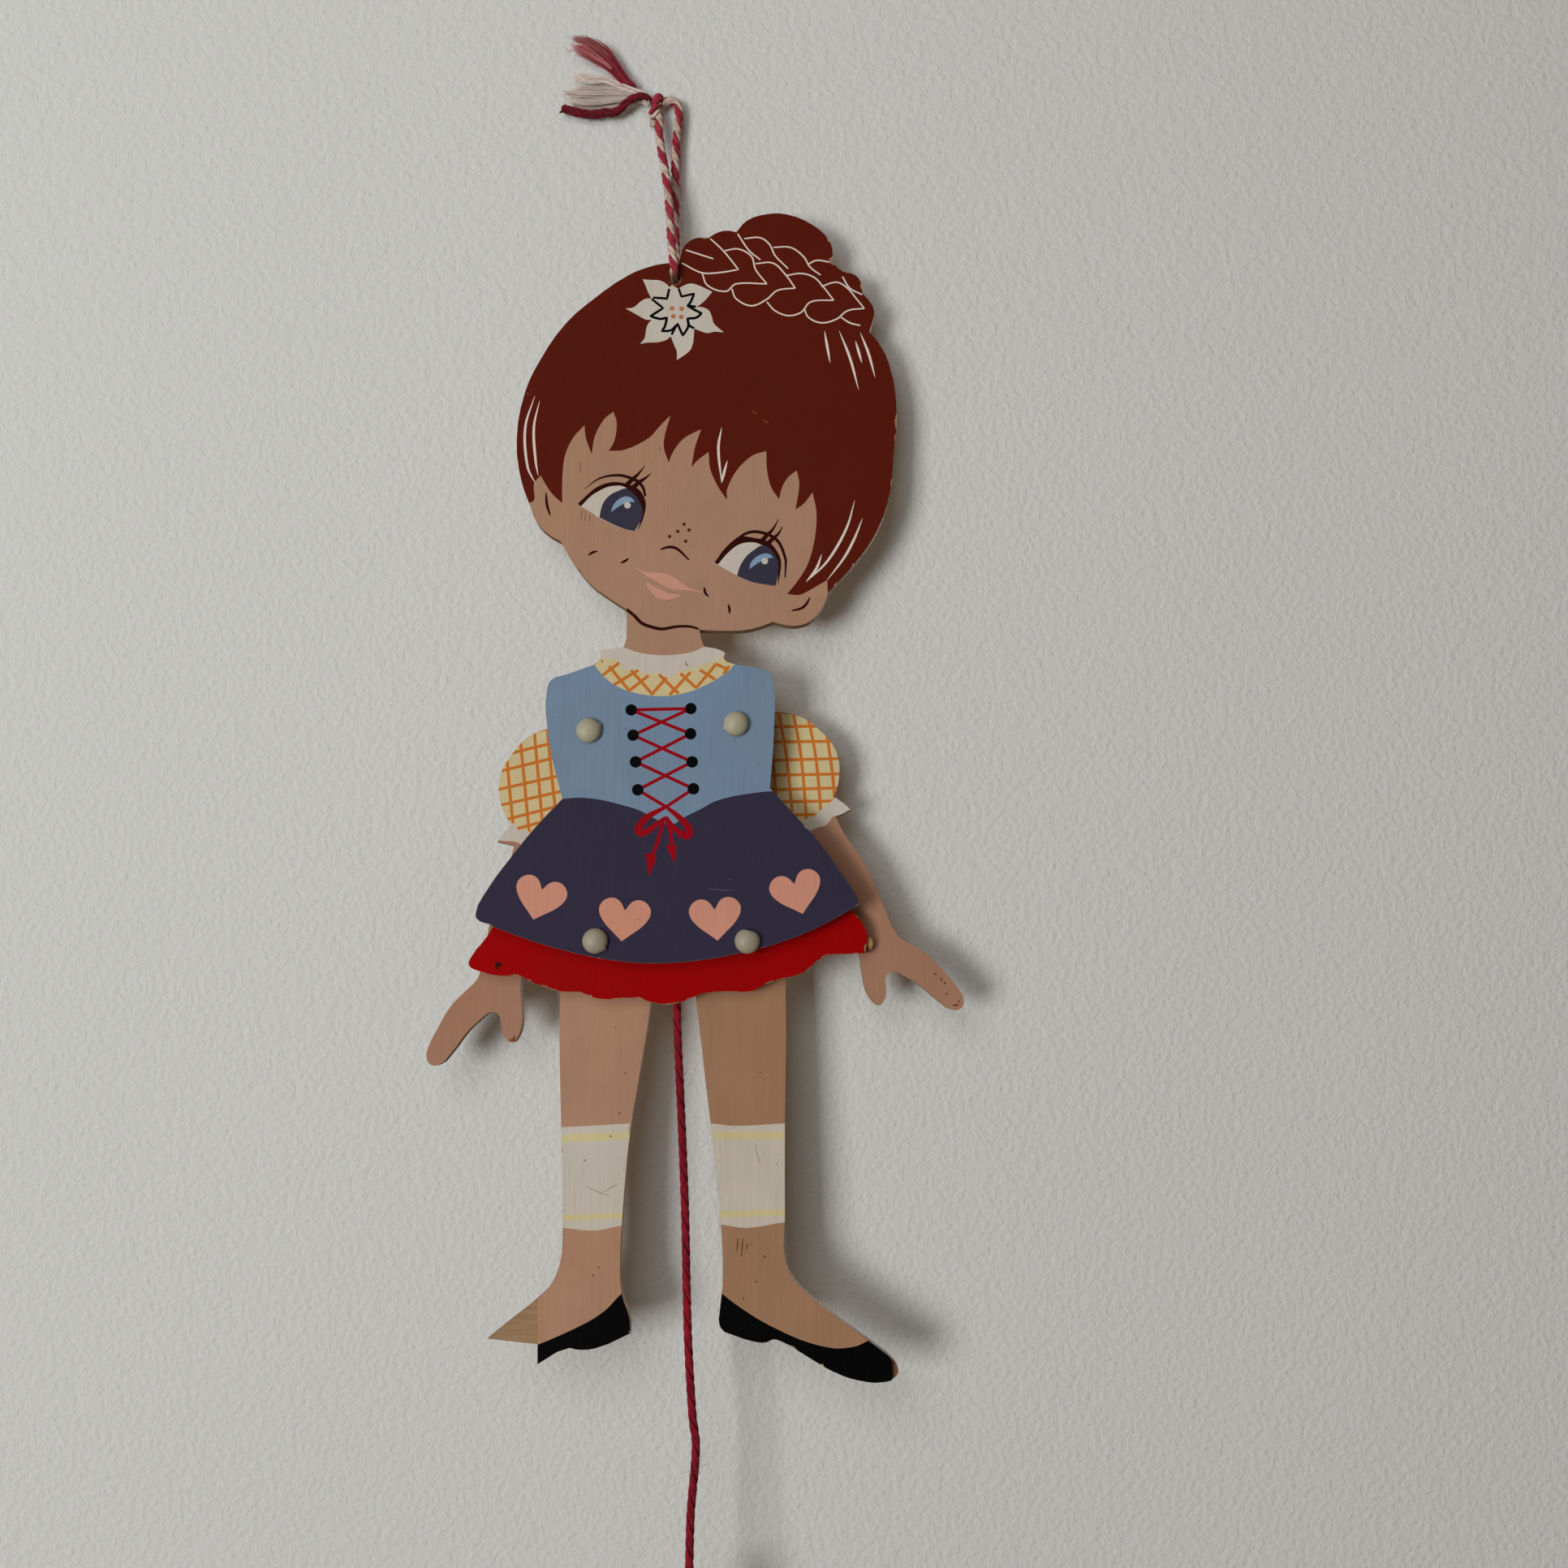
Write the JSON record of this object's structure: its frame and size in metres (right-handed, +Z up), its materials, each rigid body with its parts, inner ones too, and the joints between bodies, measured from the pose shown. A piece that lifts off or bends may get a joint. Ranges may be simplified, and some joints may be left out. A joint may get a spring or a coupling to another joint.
{
  "type": "jumping jack puppet",
  "caption": "Flat painted plywood jumping jack of a girl in a dirndl; pulling the cord swings its pinned arms and legs out, and it hangs by a twisted cord loop.",
  "frame": {"origin": "top of the hanging loop, where it lies on a nail", "axes": "+Z up, +Y towards the wall, so the painted front faces -Y; +X to the viewer's right"},
  "size_m": [0.1508, 0.0198, 0.4649],
  "materials": {
    "front_plate": "printed and painted plywood, satin",
    "petticoat": "red painted plywood, satin",
    "limb": "skin-coloured painted plywood, satin",
    "pin": "moulded cream plastic",
    "spacer": "raw turned beech",
    "peg": "brass brad",
    "pull_cord": "dark red twisted cotton",
    "string": "natural cotton string",
    "bead": "varnished wooden bead",
    "loop_cord": "red and white twisted cotton",
    "white_yarn": "frayed white cotton",
    "red_yarn": "frayed red cotton"
  },
  "bodies": {
    "puppet": {"front_body": "front_plate", "petticoat": "petticoat", "shoulder_pin_left": "pin", "shoulder_pin_right": "pin", "hip_pin_left": "pin", "hip_pin_right": "pin", "shoulder_cap_left": "pin", "shoulder_cap_right": "pin", "hip_cap_left": "pin", "hip_cap_right": "pin", "shoulder_spacer_left": "spacer", "shoulder_spacer_right": "spacer", "hanging_loop": "loop_cord", "loop_knot": "loop_cord", "tassel_red_upper": "red_yarn", "tassel_white": "white_yarn", "tassel_red_lower": "red_yarn"},
    "left_arm": {"left_arm": "limb", "left_arm_peg": "peg"},
    "right_arm": {"right_arm": "limb", "right_arm_peg": "peg"},
    "left_leg": {"left_leg": "limb", "left_leg_peg": "peg"},
    "right_leg": {"right_leg": "limb", "right_leg_peg": "peg"},
    "pull_cord": {"pull_cord": "pull_cord", "cord_top_knot": "pull_cord", "pull_bead": "bead", "bead_knot": "pull_cord", "arm_string": "string", "leg_string": "string"}
  },
  "joints": [
    {"name": "left_leg_swing", "type": "hinge", "parent": "puppet", "child": "left_leg", "pos_m": [-0.0181, 0.0037, -0.2503], "axis": [0, 1, 0], "range_deg": [0, 61.4]},
    {"name": "right_leg_swing", "type": "hinge", "parent": "puppet", "child": "right_leg", "pos_m": [0.0241, 0.0037, -0.2503], "axis": [0, -1, 0], "range_deg": [0, 61.4]},
    {"name": "left_arm_swing", "type": "hinge", "parent": "puppet", "child": "left_arm", "pos_m": [-0.02075, 0.0037, -0.1913], "axis": [0, 1, 0], "range_deg": [0, 76.1]},
    {"name": "right_arm_swing", "type": "hinge", "parent": "puppet", "child": "right_arm", "pos_m": [0.02075, 0.0037, -0.1894], "axis": [0, -1, 0], "range_deg": [0, 76.1]},
    {"name": "cord_pull", "type": "slide", "parent": "puppet", "child": "pull_cord", "axis": [0, 0, -1], "range_m": [0, 0.01226]}
  ],
  "couplings": [
    {"joint": "right_leg_swing", "follows": "left_leg_swing", "ratio": 1},
    {"joint": "left_arm_swing", "follows": "left_leg_swing", "ratio": 1.2378},
    {"joint": "right_arm_swing", "follows": "left_leg_swing", "ratio": 1.2378},
    {"joint": "cord_pull", "follows": "left_leg_swing", "m_per_rad": 0.011432}
  ]
}
